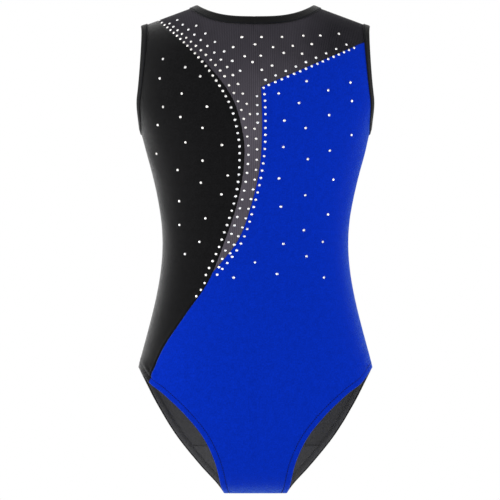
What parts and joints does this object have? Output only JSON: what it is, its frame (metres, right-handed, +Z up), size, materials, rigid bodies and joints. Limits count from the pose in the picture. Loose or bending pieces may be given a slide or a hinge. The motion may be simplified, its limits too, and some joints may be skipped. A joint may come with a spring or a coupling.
{
  "type": "gymnastics leotard",
  "caption": "Sleeveless child's gymnastics leotard with a black side, a blue panel, a dark mesh yoke that tapers down the front, a shallow neckline, a low scooped back and crystal trim.",
  "frame": {"origin": "under the middle of the garment, level with the fold of the crotch", "axes": "+Z up the body, the front faces -Y, and +X is the wearer's left"},
  "size_m": [0.2624, 0.1674, 0.5436],
  "materials": {
    "blue_cloth": "smooth stretch knit with a soft sheen",
    "black_cloth": "smooth stretch knit with a soft sheen",
    "mesh_net": "fine see-through stretch net",
    "binding": "stretch knit, folded and stitched",
    "lining": "matt knit",
    "elastic": "woven elastic tape",
    "seam_thread": "overlocked seam",
    "stitch_thread": "matt sewing thread"
  },
  "bodies": {
    "root": {"front_blue_panel": "blue_cloth", "front_black_panel": "black_cloth", "front_mesh_panel": "mesh_net", "back_panel": "black_cloth", "crotch_lining": "lining", "crotch_seam": "seam_thread", "black_to_mesh_seam": "seam_thread", "black_to_blue_seam": "seam_thread", "mesh_to_blue_edge_seam": "seam_thread", "mesh_to_blue_yoke_seam": "seam_thread", "neck_binding": "binding", "neck_binding_stitching": "stitch_thread", "armhole_binding_right": "binding", "armhole_stitching_right": "stitch_thread", "leg_hem_right": "binding", "leg_elastic_right": "elastic", "leg_hem_stitching_right": "stitch_thread", "side_seam_right": "seam_thread", "shoulder_seam_right": "seam_thread", "armhole_binding_left": "binding", "armhole_stitching_left": "stitch_thread", "leg_hem_left": "binding", "leg_elastic_left": "elastic", "leg_hem_stitching_left": "stitch_thread", "side_seam_left": "seam_thread", "shoulder_seam_left": "seam_thread"}
  },
  "joints": []
}
